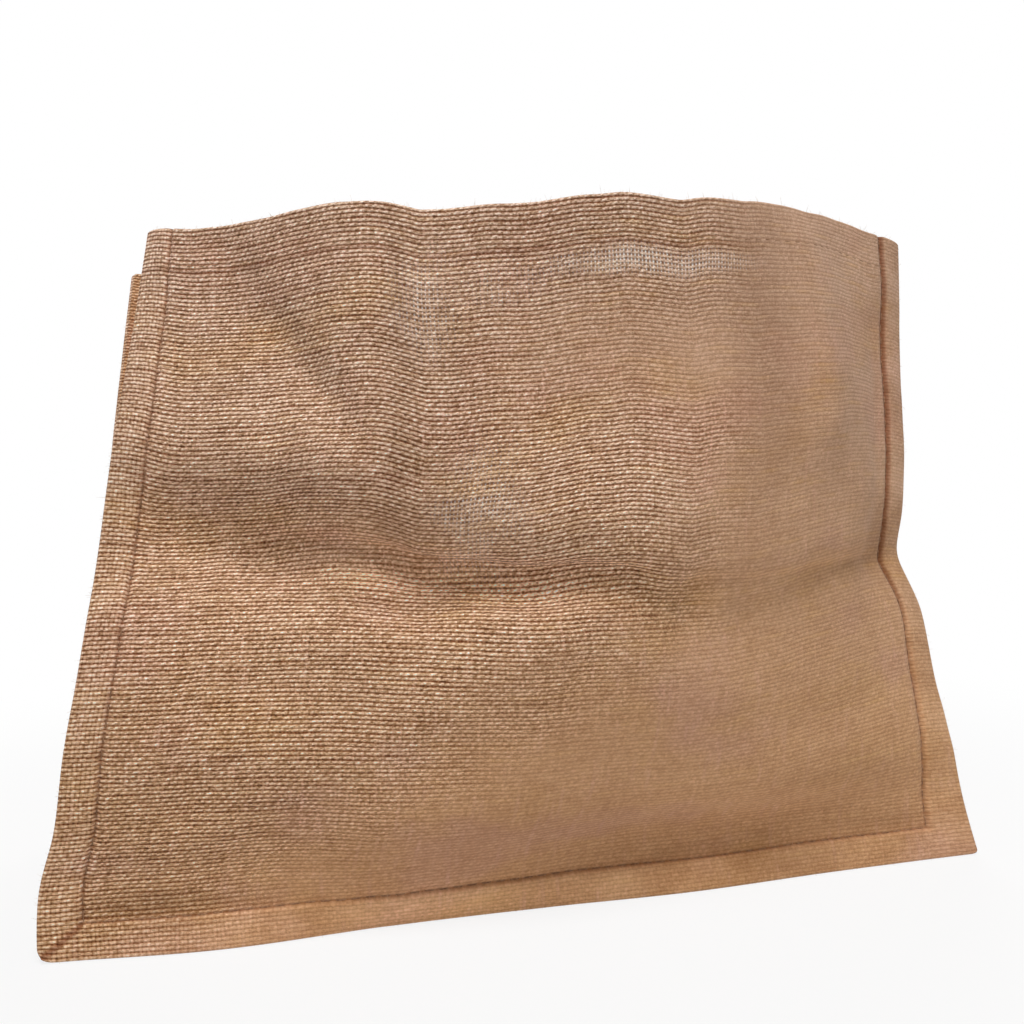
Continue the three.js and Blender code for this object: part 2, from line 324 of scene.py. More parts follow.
FRONT = Stance(
    facing=Facing.FRONT,
    flare=Flare(left=5.0, right=12.0),
    ease=Ease(share=0.09),
    waves=(Unevenness(11, 0.7, 34.0), Unevenness(12, 0.22, 11.0)),
    sections=(
        Section(0, (0, 0), (-4, 4, 0, 0, 2, -2, -4)),
        Section(30, (0, 0), (-8, -4, 8, 4, -8, -8, -10)),
        Section(60, (7, 1), (-5, 0, 20, 20, 10, 5, -15)),
        Section(95, (12, 3), (-5, 5, 25, 30, 20, 5, -25)),
        Section(130, (19, 5), (-10, -5, 30, 35, 30, 5, -30)),
        Section(160, (24, 14), (-15, -5, 30, 40, 40, 15, -25)),
        Section(200, (30, 14), (-30, -15, 25, 40, 35, 10, -30)),
        Section(260, (40, 14), (-50, -20, 20, 25, 30, 5, -35)),
        Section(346, (54, 16), (-65, -20, 15, 25, 25, -5, -35)),
    ),
    folds=(
        Fold("half fold, left", (20, 200), (135, 155), 20, 20),
        Fold("half fold, middle", (140, 175), (265, 160), 20, 12),
        Fold("half fold, right", (305, 155), (436, 165), 15, 12),
        Fold("brow over the half fold", (-16, 240), (100, 230), -20, 25),
        Fold("shelf under the half fold", (10, 130), (235, 160), -10, 15),
        Fold("valley below the mouth", (35, 310), (125, 225), 5, 10),
        Fold("upright dent", (115, 346), (140, 205), 3, 8),
        Fold("ridge across the belly", (245, 170), (40, 50), -3, 10),
        Fold("pleat at the right", (350, 330), (350, 240), -5, 10),
        Fold("tuck under the brow", (80, 210), (130, 200), 3, 8),
        Fold("hollow beside the right seam", (410, 290), (405, 155), 3, 8),
    ),
    creases=(
        Crease("half fold, left", (56, 192), (130, 186), 3.4, 5.0, 13.0),
        Crease("half fold, middle", (120, 187), (246, 173), 5.0, 4.0, 12.0),
        Crease("half fold, right", (262, 171), (424, 160), 1.3, 3.5, 5.0),
        Crease("slant at the bend", (220, 144), (248, 166), 0.8, 4.0, 1.8),
        Crease("valley to the mouth", (28, 344), (104, 236), 1.7, 10.0, 10.0),
        Crease("corner tuck", (-17, 1), (1, 19), 1.2, 4.0, 1.2),
    ),
)

BACK = Stance(
    facing=Facing.BACK,
    flare=Flare(left=3.0, right=4.0),
    ease=Ease(),
    waves=(Unevenness(31, 1.2, 40.0), Unevenness(32, 0.3, 13.0)),
    sections=(
        Section(0, (0, 0), (0, 0, 0, 0, 0)),
        Section(50, (2, 1), (5, 10, 10, 10, 5)),
        Section(110, (5, 4), (15, 40, 45, 40, 20)),
        Section(175, (10, 9), (30, 65, 75, 60, 25)),
        Section(240, (17, 10), (45, 90, 105, 80, 25)),
        Section(346, (30, 13), (75, 130, 135, 100, 30)),
    ),
    folds=(
        Fold("half fold", (-16, 171), (436, 171), 6, 16),
        Fold("pleat", (300, 346), (270, 210), -5, 26),
    ),
)


class StandingPanel:
    """A panel laid out over the whole cloth, with its lengths kept along rows and columns."""

    def __init__(self, cut: Cut, stance: Stance) -> None:
        """Lays the panel out.

        Args:
            cut: the sizes of the cloth.
            stance: how it stands.
        """
        self.cut = cut
        self.stance = stance
        self.seams = Seams()
        self.across = np.arange(cut.left, cut.right + cut.lay_step / 2, cut.lay_step)
        self.up = np.arange(0.0, cut.top + cut.lay_step / 2, cut.lay_step)
        self.points = np.zeros((len(self.up), len(self.across), 3))
        self.lay_rows()
        self.widen_flanges()
        self.raise_columns()
        self.normals = self.face_outward()
        rng = np.random.default_rng(stance.waves[0].seed + 1)
        self.pucker_knots = np.arange(-40.0, cut.right + 60.0, 14.0)
        self.pucker_heights = rng.uniform(-1, 1, (len(self.pucker_knots), 3))

    def lay_rows(self) -> None:
        """Places X and Y of every row, keeping the length of the cloth along it."""
        cut, stance = self.cut, self.stance
        heights = np.array([section.up for section in stance.sections], float)
        profile = np.array([section.out for section in stance.sections], float)
        inset = np.array([section.inset for section in stance.sections], float)
        profile, inset = (curve_through(heights, rows, self.up) for rows in (profile, inset))
        knots = np.linspace(self.across[0], self.across[-1], profile.shape[1])
        out = curve_through(knots, profile.T, self.across).T
        across, up = np.meshgrid(self.across, self.up)
        settled = smooth((up - cut.seam_allowance) / cut.seam_allowance)
        for fold in stance.folds:
            out -= settled * fold.depth_at(across, up)
        for wave in stance.waves:
            out += smooth(up / cut.seam_allowance) * wave.over(self.across, self.up)
        y = stance.facing.value * (cut.gusset_width / 2 + out)
        step = np.sqrt(np.maximum(cut.lay_step**2 - np.diff(y, axis=1) ** 2, 0.0))
        run = np.concatenate([np.zeros((len(y), 1)), np.cumsum(step, axis=1)], axis=1)
        left = -cut.half_width + inset[:, :1]
        right = cut.half_width - inset[:, 1:]
        self.points[..., 0] = left + run * (right - left) / run[:, -1:]
        self.points[..., 1] = y

    def widen_flanges(self) -> None:
        """Moves the side flanges' edges out towards the base."""
        cut, flare = self.cut, self.stance.flare
        fade = np.exp(-self.up / flare.fade)[:, None]
        through_left = np.clip(-self.across / cut.seam_allowance, 0, 1)
        through_right = np.clip((self.across - cut.panel_width) / cut.seam_allowance, 0, 1)
        self.points[..., 0] += fade * (flare.right * through_right - flare.left * through_left)

    def raise_columns(self) -> None:
        """Places Z of every column, keeping the length of the cloth up it."""
        cut, ease = self.cut, self.stance.ease
        past = (self.across - ease.from_across) / (cut.right - ease.from_across)
        above = smooth((self.up[1:, None] - ease.from_up) / ease.over_up)
        rise = cut.lay_step * (1 - ease.share * smooth(past) * above)
        flat = np.hypot(*np.moveaxis(np.diff(self.points[..., :2], axis=0), 2, 0))
        self.points[1:, :, 2] = np.cumsum(np.sqrt(np.maximum(rise**2 - flat**2, 0.0)), axis=0)

    def face_outward(self) -> Grid:
        """The direction out of the bag at every point of the layout.

        Returns:
            A vector of length 1 for each point.
        """
        along_row = np.gradient(self.points, axis=1)
        along_column = np.gradient(self.points, axis=0)
        outward = -self.stance.facing.value * np.cross(along_row, along_column)
        smoothed = outward.copy()
        smoothed[1:-1] += outward[2:] + outward[:-2]
        smoothed[:, 1:-1] += smoothed[:, 2:] + smoothed[:, :-2]
        return unit(smoothed)

    def sample(self, grid: Grid, across: Grid, up: Grid) -> Grid:
        """Values of the layout between its points.

        Args:
            grid: one row of vectors for each row of the layout.
            across: places across the cloth.
            up: places up the cloth, of the same shape.

        Returns:
            A vector for each place.
        """
        step = self.cut.lay_step
        c = np.clip((across - self.cut.left) / step, 0, len(self.across) - 1)
        r = np.clip(up / step, 0, len(self.up) - 1)
        c0 = np.minimum(c.astype(int), len(self.across) - 2)
        r0 = np.minimum(r.astype(int), len(self.up) - 2)
        s, t = (c - c0)[..., None], (r - r0)[..., None]
        low = grid[r0, c0] * (1 - s) + grid[r0, c0 + 1] * s
        high = grid[r0 + 1, c0] * (1 - s) + grid[r0 + 1, c0 + 1] * s
        return low * (1 - t) + high * t

    def rounded(self, across: Grid, up: Grid) -> tuple[Grid, Grid]:
        """Moves places near the four corners of the cloth so that the corners are round.

        Args:
            across: places across the cloth.
            up: places up the cloth, of the same shape.

        Returns:
            The moved places.
        """
        a, u = across.astype(float).copy(), up.astype(float).copy()
        corners = (
            (self.cut.left, 1, 0.0, 1, self.seams.left_corner_round),
            (self.cut.right, -1, 0.0, 1, self.seams.right_corner_round),
            (self.cut.left, 1, self.cut.top, -1, self.seams.mouth_round),
            (self.cut.right, -1, self.cut.top, -1, self.seams.mouth_round),
        )
        for corner_across, side, corner_up, way, radius in corners:
            x = 1 - side * (across - corner_across) / radius
            y = 1 - way * (up - corner_up) / radius
            near = (x > 0) & (y > 0)
            round_x = x * np.sqrt(np.maximum(1 - y * y / 2, 0))
            round_y = y * np.sqrt(np.maximum(1 - x * x / 2, 0))
            a = np.where(near, corner_across + side * radius * (1 - round_x), a)
            u = np.where(near, corner_up + way * radius * (1 - round_y), u)
        return a, u

    def pulled_in(self, across: Grid, up: Grid) -> Grid:
        """How far the stitching, its puckers and the tight creases pull the cloth in.

        Args:
            across: places across the cloth.
            up: places up the cloth, of the same shape.

        Returns:
            The depth at each place.
        """
        cut, seams = self.cut, self.seams
        below = np.maximum(cut.seam_allowance - up, 0)
        outside = np.maximum(np.maximum(-across, across - cut.panel_width), 0)
        lines = (
            (np.hypot(across, below), seams.left, up),
            (np.hypot(up - cut.seam_allowance, outside), seams.bottom, across),
            (np.hypot(across - cut.panel_width, below), seams.right, up),
        )
        inner = np.minimum(np.minimum(across, cut.panel_width - across), up - cut.seam_allowance)
        total = np.zeros(across.shape)
        pucker = np.zeros(across.shape)
        for k, (away, groove, along) in enumerate(lines):
            width = np.where(inner > 0, groove.inner_width, groove.width)
            total = np.maximum(total, groove.depth * np.exp(-((away / width) ** 2)))
            wave = curve_through(self.pucker_knots, self.pucker_heights[:, k], along.ravel())
            near = np.exp(-away / seams.pucker_reach)
            pucker += seams.pucker * near * wave.reshape(along.shape)
        inward = np.minimum(np.minimum(across - cut.left, cut.right - across), up)
        share = np.clip(inward / cut.seam_allowance, 0, 1)
        for crease in self.stance.creases:
            total = total + crease.depth_at(across, up)
        return total + pucker - seams.plump * np.sin(np.pi * share)

    def place(self, across: Grid, up: Grid, depth: Grid) -> Grid:
        """Points on the panel or behind it.

        Args:
            across: places across the cloth.
            up: places up the cloth, of the same shape.
            depth: how far each point is behind the middle of the outer layer.

        Returns:
            A point in millimetres for each place, never below the surface.
        """
        across, up, depth = np.broadcast_arrays(across, up, depth)
        a, u = self.rounded(across, up)
        inward = depth + self.pulled_in(a, u)
        outward = self.sample(self.normals, a, u)
        points = self.sample(self.points, a, u) - outward * inward[..., None]
        points[..., 2] = np.maximum(points[..., 2], 0.0)
        return points


# ---- meshes


def steps(start: float, end: float, spacing: float) -> Grid:
    """Equal steps of about a spacing from one value to another, both ends included."""
    return np.linspace(start, end, max(2, round(abs(end - start) / spacing) + 1))


def edge_turn(away: Grid, radius: float) -> Grid:
    """How far a face has turned in towards a folded edge: 0 on the face, nearly 1 at the edge.

    Args:
        away: how far each place is from the edge.
        radius: how far from the edge the turn starts.

    Returns:
        The share of the way to the middle of the cloth.
    """
    t = 1 - np.clip(away / radius, 0, 1)
    return 0.96 * (1 - np.sqrt(np.maximum(1 - t * t, 0)))


def joined(*runs: Sequence[float]) -> Grid:
    """All the values of several runs in order, each value once."""
    return np.unique(np.round(np.concatenate([np.asarray(run, float) for run in runs]), 4))


def placed(name: str, data: bpy.types.ID) -> bpy.types.Object:
    """Makes an object of a mesh, a lamp or a camera and puts it in the scene.

    Args:
        name: the object's name.
        data: what it shows.

    Returns:
        The object.
    """
    made = bpy.data.objects.new(name, data)
    bpy.context.collection.objects.link(made)
    return made


@dataclass
class Mesh:
    """Points in millimetres, faces, and a place on the flat cloth for every point."""

    points: Grid
    faces: list[Grid] = field(default_factory=list)
    cloth: Grid | None = None

    def make(self, name: str, material: bpy.types.Material) -> bpy.types.Object:
        """Makes the Blender object.

        Args:
            name: the piece's name.
            material: its finish.

        Returns:
            The object, in metres.
        """
        data = bpy.data.meshes.new(name)
        faces = [face.tolist() for block in self.faces for face in block]
        data.from_pydata((self.points * METRES).tolist(), [], faces)
        data.polygons.foreach_set("use_smooth", [True] * len(data.polygons))
        if self.cloth is not None:
            corners = np.empty(len(data.loops), dtype=np.int32)
            data.loops.foreach_get("vertex_index", corners)
            layer = data.uv_layers.new(name=CLOTH_MAP)
            layer.data.foreach_set("uv", (self.cloth[corners] * METRES).ravel())
        data.materials.append(material)
        data.update()
        return placed(name, data)


def closed_sheet(face: Grid, back: Grid, cloth: Grid) -> Mesh:
    """A closed sheet between two grids of points.

    Args:
        face: the grid that looks along the cross product of its rows with its columns.
        back: the other grid.
        cloth: the place on the flat cloth of each point of a grid.

    Returns:
        The mesh.
    """
    rows, columns = face.shape[:2]
    index = np.arange(rows * columns).reshape(rows, columns)
    a, b = index[:-1, :-1].ravel(), index[:-1, 1:].ravel()
    c, d = index[1:, 1:].ravel(), index[1:, :-1].ravel()
    other = rows * columns
    rim = np.concatenate([index[0, :-1], index[:-1, -1], index[-1, :0:-1], index[:0:-1, 0]])
    after = np.roll(rim, -1)
    return Mesh(
        np.concatenate([face.reshape(-1, 3), back.reshape(-1, 3)]),
        [
            np.stack([a, b, c, d], axis=1),
            np.stack([d, c, b, a], axis=1) + other,
            np.stack([rim, rim + other, after + other, after], axis=1),
        ],
        np.concatenate([cloth.reshape(-1, 2)] * 2),
    )


def tubes(paths: Grid, radii: Grid, sides: int) -> Mesh:
    """Closed thin tubes.

    Args:
        paths: the points of each tube, all with as many.
        radii: the radius at each of those points.
        sides: how many sides a tube has.

    Returns:
        One mesh of all the tubes.
    """
    count, rings = paths.shape[:2]
    along = unit(np.gradient(paths, axis=1))
    steep = np.abs(along[..., 2:]) > 0.9
    helper = np.where(steep, np.array([1.0, 0.0, 0.0]), np.array([0.0, 0.0, 1.0]))
    side = unit(np.cross(along, helper))
    other = np.cross(along, side)
    angle = np.arange(sides) * 2 * np.pi / sides
    turn = side[:, :, None] * np.cos(angle)[:, None] + other[:, :, None] * np.sin(angle)[:, None]
    points = paths[:, :, None] + turn * radii[:, :, None, None]
    index = np.arange(count * rings * sides).reshape(count, rings, sides)
    beside = np.roll(index, -1, axis=2)
    walls = np.stack([index[:, :-1], beside[:, :-1], beside[:, 1:], index[:, 1:]], axis=-1)
    return Mesh(
        points.reshape(-1, 3),
        [walls.reshape(-1, 4), index[:, 0, ::-1], index[:, -1]],
    )


# ---- the pieces


@dataclass
class PanelPiece:
    """A panel with its flanges and its hem, as a closed sheet."""

    cut: Cut
    panel: StandingPanel
    spacing: float
    step: float = 0.7
    edge_round: float = 1.2
    near_seam: Row = (0.0, 0.4, 0.9, 1.4, 2.0, 2.8, 4.0)
    near_edge: Row = (0.0, 0.1, 0.35, 0.75, 1.2, 2.2)
    fine_rows: Row = ()

    def lines(self, start: float, end: float, seams: Row, hems: Row = ()) -> Grid:
        """Where the lines of points are, closer together beside edges, seams and hems.

        Args:
            start: the first folded edge.
            end: the other one.
            seams: where seams are, increasing.
            hems: where hems end, increasing, beyond the seams.

        Returns:
            The places of the lines.
        """
        near_edge, near_seam = np.array(self.near_edge), np.array(self.near_seam)
        runs = [start + near_edge, end - near_edge]
        low = start + near_edge[-1]
        for seam in seams:
            runs.append(steps(low, seam - near_seam[-1], self.spacing))
            runs.extend([seam - near_seam, seam + near_seam])
            low = seam + near_seam[-1]
        for hem in hems:
            runs.append(steps(low, hem - self.step, self.spacing))
            low = hem + self.step
            runs.append((hem, low))
        return joined(*runs, steps(low, end - near_edge[-1], self.spacing))

    def inner_depth(self, across: Grid, up: Grid) -> Grid:
        """How far behind the outer layer's middle the inside face is: two layers or one.

        Args:
            across: places across the cloth.
            up: places up the cloth, of the same shape.

        Returns:
            The depth at each place.
        """
        cut = self.cut
        inside = np.minimum(np.minimum(across, cut.panel_width - across), up - cut.seam_allowance)
        to_hem = cut.top - cut.hem_depth - up
        single = smooth((np.minimum(inside, to_hem) + self.step) / (2 * self.step))
        return cut.half_cloth + cut.cloth * (1 - single)

    def mesh(self) -> Mesh:
        """The closed sheet."""
        cut = self.cut
        columns = self.lines(cut.left, cut.right, (0.0, cut.panel_width))
        rows = self.lines(0.0, cut.top, (cut.seam_allowance,), (cut.top - cut.hem_depth,))
        across, up = np.meshgrid(columns, joined(rows, self.fine_rows))
        inner = self.inner_depth(across, up)
        outer = np.full(across.shape, -cut.half_cloth)
        middle = (inner + outer) / 2
        sides = np.minimum(across - cut.left, cut.right - across)
        turn = edge_turn(np.minimum(sides, np.minimum(up, cut.top - up)), self.edge_round)
        outside = self.panel.place(across, up, outer + (middle - outer) * turn)
        inside = self.panel.place(across, up, inner + (middle - inner) * turn)
        cloth = np.stack([across, up], axis=2)
        if self.panel.stance.facing is Facing.FRONT:
            return closed_sheet(outside, inside, cloth)
        return closed_sheet(inside, outside, cloth)


@dataclass
class GussetPiece:
    """The strip between the two panels: left side, base and right side in one."""

    cut: Cut
    front: StandingPanel
    back: StandingPanel
    spacing: float = 3.2
    lip_margin: float = 0.5
    turn_in: float = 0.6
    turn_depth: float = 5.5
    base_rise_share: float = 0.2
    sag_fade: float = 110.0
    bow_fade: float = 30.0
    bow_start: float = 0.01
    fold_depth: float = 5.0
    fold_sharpness: float = 9.0
    edge_round: float = 1.2
    sway: float = 1.5
    seed: int = 23

    def stations(self) -> tuple[Grid, ...]:
        """The stations along the strip, from the left mouth down, under and up again.

        Returns:
            For each station its place across and up along the seam line, the direction from the
            seam to the cut edge, whether it is at the base, which way it bows, and how far along
            the strip it is.
        """
        cut = self.cut
        hem = cut.top - cut.hem_depth
        sides = joined(
            steps(cut.seam_allowance + 1.5, hem - 1.0, self.spacing),
            (hem, hem + 0.7),
            steps(hem + 0.7, cut.top - 0.6, self.spacing),
            (cut.top - 0.25, cut.top),
        )
        bottom = steps(1.5, cut.panel_width - 1.5, self.spacing)
        n, m = len(sides), len(bottom)
        low, far = cut.panel_height, cut.panel_height + cut.panel_width
        across = np.concatenate([np.zeros(n + 1), bottom, np.full(n + 1, cut.panel_width)])
        up = np.concatenate([sides[::-1], np.full(m + 2, cut.seam_allowance), sides])
        away_x = np.repeat([-1.0, 0.0, 1.0], [n + 1, m, n + 1])
        away_u = np.repeat([0.0, -1.0, 0.0], [n, m + 2, n])
        bow = np.repeat([1.0, 0.0, -1.0], [n, m + 2, n])
        up_left, up_right = cut.top - sides[::-1], far + (sides - cut.seam_allowance)
        run = np.concatenate([up_left, [low], low + bottom, [far], up_right])
        return across, up, away_x, away_u, away_u < 0, bow, run

    def seam_points(self, panel: StandingPanel, distance: float, depth: float) -> Grid:
        """Points beside a panel's seam at every station.

        Args:
            panel: the panel.
            distance: how far outside the seam line.
            depth: how far behind the panel.

        Returns:
            A point for each station.
        """
        across, up, away_x, away_u, *_ = self.stations()
        return panel.place(across + away_x * distance, up + away_u * distance, np.array(depth))

    def middle(self) -> tuple[Grid, Grid, Grid]:
        """The middle of the strip's cloth.

        Returns:
            The grid of points, the place across the strip of each column, and the place along it
            of each row.
        """
        cut = self.cut
        *_, base, bow, run = self.stations()
        lip_depth = 4 * cut.half_cloth + cut.fit_gap
        lip_end = cut.seam_allowance - self.lip_margin
        lips = joined([1.0], steps(1.0, lip_end - 0.3, self.spacing), [lip_end])[::-1]
        columns: list[Grid] = []
        places: list[float] = []
        for distance in lips:
            columns.append(self.seam_points(self.front, distance, lip_depth))
            places.append(-distance)
        start = self.seam_points(self.front, -self.turn_in, self.turn_depth)
        end = self.seam_points(self.back, -self.turn_in, self.turn_depth)
        chord = np.linalg.norm(end - start, axis=1)
        width = cut.gusset_width - 2 * self.turn_depth
        spare = np.maximum(width / chord - 1, 0)
        slack = math.sqrt(0.375) * spare / np.sqrt(spare + self.bow_start)
        from_base = self.stations()[1] - cut.seam_allowance
        drop = np.exp(-from_base / self.sag_fade)
        bow = bow * (1 - np.exp(-from_base / self.bow_fade))
        full_drop = cut.seam_allowance + self.turn_in - cut.half_cloth
        rng = np.random.default_rng(self.seed)
        knots = np.arange(0, run[-1] + 80, 40.0)
        sway = curve_through(knots, rng.uniform(-1, 1, (len(knots), 2)), run)[:, 0]
        for t in steps(0, width, self.spacing) / width:
            point = start * (1 - t) + end * t
            from_seam = min(t, 1 - t)
            fall = np.where(base, point[:, 2] - cut.half_cloth, full_drop * drop)
            arch = 4 * t * (1 - t)
            away = abs(t - 0.5) * self.fold_sharpness
            crease = self.fold_depth * math.exp(-away) * (1 + away)
            swell = slack * chord * arch + crease * (1 - drop) + self.sway * arch * sway
            point[:, 0] += bow * swell
            point[:, 2] -= fall * smooth(np.array(from_seam / self.base_rise_share))
            columns.append(point)
            places.append(self.turn_depth + t * width)
        for distance in lips[::-1]:
            columns.append(self.seam_points(self.back, distance, lip_depth))
            places.append(cut.gusset_width + distance)
        return np.stack(columns, axis=1), np.array(places), run

    def mesh(self) -> Mesh:
        """The closed sheet."""
        cut = self.cut
        grid, places, run = self.middle()
        along_row = np.gradient(grid, axis=1)
        along_column = np.gradient(grid, axis=0)
        outward = unit(np.cross(along_row, along_column))
        across, along = np.meshgrid(places, run)
        from_mouth = np.minimum(along, run[-1] - along)
        wall = (across > 0) & (across < cut.gusset_width)
        hemmed = smooth((cut.hem_depth + 0.7 - from_mouth) / 1.4) * wall
        inner = cut.half_cloth + cut.cloth * hemmed
        turn = edge_turn(from_mouth, self.edge_round)
        outer = np.full(across.shape, cut.half_cloth)
        middle = (outer - inner) / 2
        outside = grid + outward * (outer + (middle - outer) * turn)[..., None]
        inside = grid - outward * (inner + (-middle - inner) * turn)[..., None]
        outside[..., 2] = np.maximum(outside[..., 2], 0.0)
        inside[..., 2] = np.maximum(inside[..., 2], 0.0)
        return closed_sheet(outside, inside, np.stack([across, along], axis=2))


@dataclass
class StitchRows:
    """The stitches that show on a panel, along its seams and its hem."""

    cut: Cut
    panel: StandingPanel
    stitch: float = 5.5
    gap: float = 1.3
    thread: float = 0.34
    rings: int = 6
    sides: int = 6
    hem_line: float = 18.0

    def row(self, start: Pair, end: Pair, lift: float) -> Grid:
        """The paths of the stitches of one straight row.

        Args:
            start: the place on the cloth where the row starts.
            end: where it ends.
            lift: how far the thread's middle stands above the cloth's middle.

        Returns:
            The points of each stitch.
        """
        length = math.dist(start, end)
        count = int(length / (self.stitch + self.gap))
        t = np.linspace(0, 1, self.rings)
        first = (np.arange(count) + 0.5) * (length / count) - self.stitch / 2
        along = (first[:, None] + t * self.stitch) / length
        across = start[0] + (end[0] - start[0]) * along
        up = start[1] + (end[1] - start[1]) * along
        dip = (2 * t - 1) ** 6 * self.thread * 2.0
        return self.panel.place(across, up, dip[None] - lift)

    def mesh(self) -> Mesh:
        """All the stitches."""
        cut = self.cut
        low, high = cut.seam_allowance, cut.top - 1.0
        lift = cut.half_cloth + self.thread * 0.35
        hem = cut.top - self.hem_line
        paths = np.concatenate(
            [
                self.row((0, high), (0, low), lift),
                self.row((0, low), (cut.panel_width, low), lift),
                self.row((cut.panel_width, low), (cut.panel_width, high), lift),
                self.row((3, hem), (cut.panel_width - 3, hem), lift - self.thread),
            ]
        )
        return tubes(paths, np.full(paths.shape[:2], self.thread), self.sides)


@dataclass
class LooseFibres:
    """Fine fibres that stand off a panel, most of them at its edges."""

    cut: Cut
    panel: StandingPanel
    on_face: int
    on_edges: int
    seed: int
    rings: int = 5
    radius: float = 0.055
    edge_length: Pair = (0.2, 1.1)
    face_length: Pair = (1.5, 6.0)

    def on_panel(self, rng: np.random.Generator) -> Grid:
        """Lays the fibres that stand off the face.

        Args:
            rng: the random numbers.

        Returns:
            The points of each fibre.
        """
        cut, n = self.cut, self.on_face
        across = rng.uniform(cut.left + 2, cut.right - 2, (n, 1))
        up = rng.uniform(2, cut.top - 2, (n, 1))
        length = rng.uniform(*self.face_length, (n, 1)) * rng.uniform(0.3, 1, (n, 1))
        way = rng.uniform(0, 2 * np.pi, (n, 1))
        curl = rng.normal(0, 1.2, (n, 1))
        t = np.linspace(0, 1, self.rings)
        heading = way + curl * t
        a = across + length * t * np.cos(heading)
        u = up + length * t * np.sin(heading)
        height = rng.uniform(0.2, 1.0, (n, 1)) * np.sin(np.pi * (0.1 + 0.75 * t))
        return self.panel.place(a, u, -cut.half_cloth - height)

    def at_edges(self, rng: np.random.Generator) -> Grid:
        """Lays the fibres that stand out at the flanges' edges and the mouth.

        Args:
            rng: the random numbers.

        Returns:
            The points of each fibre.
        """
        cut, n = self.cut, self.on_edges
        wide = cut.right - cut.left
        lengths = np.array([cut.top, wide, cut.top, wide])
        side = rng.choice(4, n, p=lengths / lengths.sum())[:, None]
        s = rng.uniform(0.01, 0.99, (n, 1))
        ways = np.array([(-1.0, 0.0), (0.0, -1.0), (1.0, 0.0), (0.0, 1.0)])
        out_x, out_u = ways[side, 0], ways[side, 1]
        edge_x = np.where(side == 0, cut.left, cut.right)
        edge_u = np.where(side == 1, 0.0, cut.top)
        across = np.where(out_x != 0, edge_x, cut.left + s * wide)
        up = np.where(out_x != 0, s * cut.top, edge_u)
        inside = 1.5
        root = self.panel.place(across - out_x * inside, up - out_u * inside, np.array(0.3))
        edge = self.panel.place(across, up, np.array(0.3))
        outward = edge - root
        outward /= np.linalg.norm(outward, axis=2, keepdims=True) + 1e-9
        swing = rng.normal(0, 0.45, (n, 1, 3))
        length = rng.uniform(*self.edge_length, (n, 1, 1)) * rng.uniform(0.35, 1, (n, 1, 1))
        t = np.linspace(0, 1, self.rings)[None, :, None]
        bend = rng.normal(0, 0.5, (n, 1, 3))
        path = root + (outward + swing) * t * (length + inside) + bend * t * t * length
        path[..., 2] = np.maximum(path[..., 2], self.radius)
        return path

    def mesh(self) -> Mesh:
        """All the fibres."""
        rng = np.random.default_rng(self.seed)
        paths = np.concatenate([self.on_panel(rng), self.at_edges(rng)])
        taper = 1 - 0.6 * np.linspace(0, 1, self.rings) ** 2
        radii = self.radius * rng.uniform(0.6, 1.4, (len(paths), 1)) * taper
        return tubes(paths, radii, 3)


# ---- finishes


Amount = "Field | float"


class Field:
    """A number that changes over a surface, as a socket of a material's nodes."""

    def __init__(self, tree: "Tree", socket: bpy.types.NodeSocket) -> None:
        """Wraps a socket of a tree."""
        self.tree = tree
        self.socket = socket

    def maths(self, operation: str, *others: Amount, clamp: bool = False) -> "Field":
        """Adds a Math node.

        Args:
            operation: the node's operation.
            others: its other inputs.
            clamp: whether the result stays between 0 and 1.

        Returns:
            The result.
        """
        settings = {"operation": operation, "use_clamp": clamp}
        return self.tree.field("ShaderNodeMath", settings, dict(enumerate((self, *others))))

    def __add__(self, other: Amount) -> "Field":
        """self + other"""
        return self.maths("ADD", other)

    def __sub__(self, other: Amount) -> "Field":
        """self - other"""
        return self.maths("SUBTRACT", other)

    def __rsub__(self, other: float) -> "Field":
        """other - self"""
        return (self * -1.0) + other

    def __mul__(self, other: Amount) -> "Field":
        """self * other"""
        return self.maths("MULTIPLY", other)

    def __truediv__(self, other: Amount) -> "Field":
        """self / other"""
        return self.maths("DIVIDE", other)

    __radd__, __rmul__ = __add__, __mul__

    def clamped(self) -> "Field":
        """Kept between 0 and 1."""
        return self.maths("ADD", 0.0, clamp=True)

    def larger(self, other: Amount) -> "Field":
        """The larger of the two."""
        return self.maths("MAXIMUM", other)

    def rise(self, low: float, high: float) -> "Field":
        """A soft step from 0 at low to 1 at high."""
        ends = {"Value": self, "From Min": low, "From Max": high}
        return self.tree.field("ShaderNodeMapRange", {"interpolation_type": "SMOOTHSTEP"}, ends)


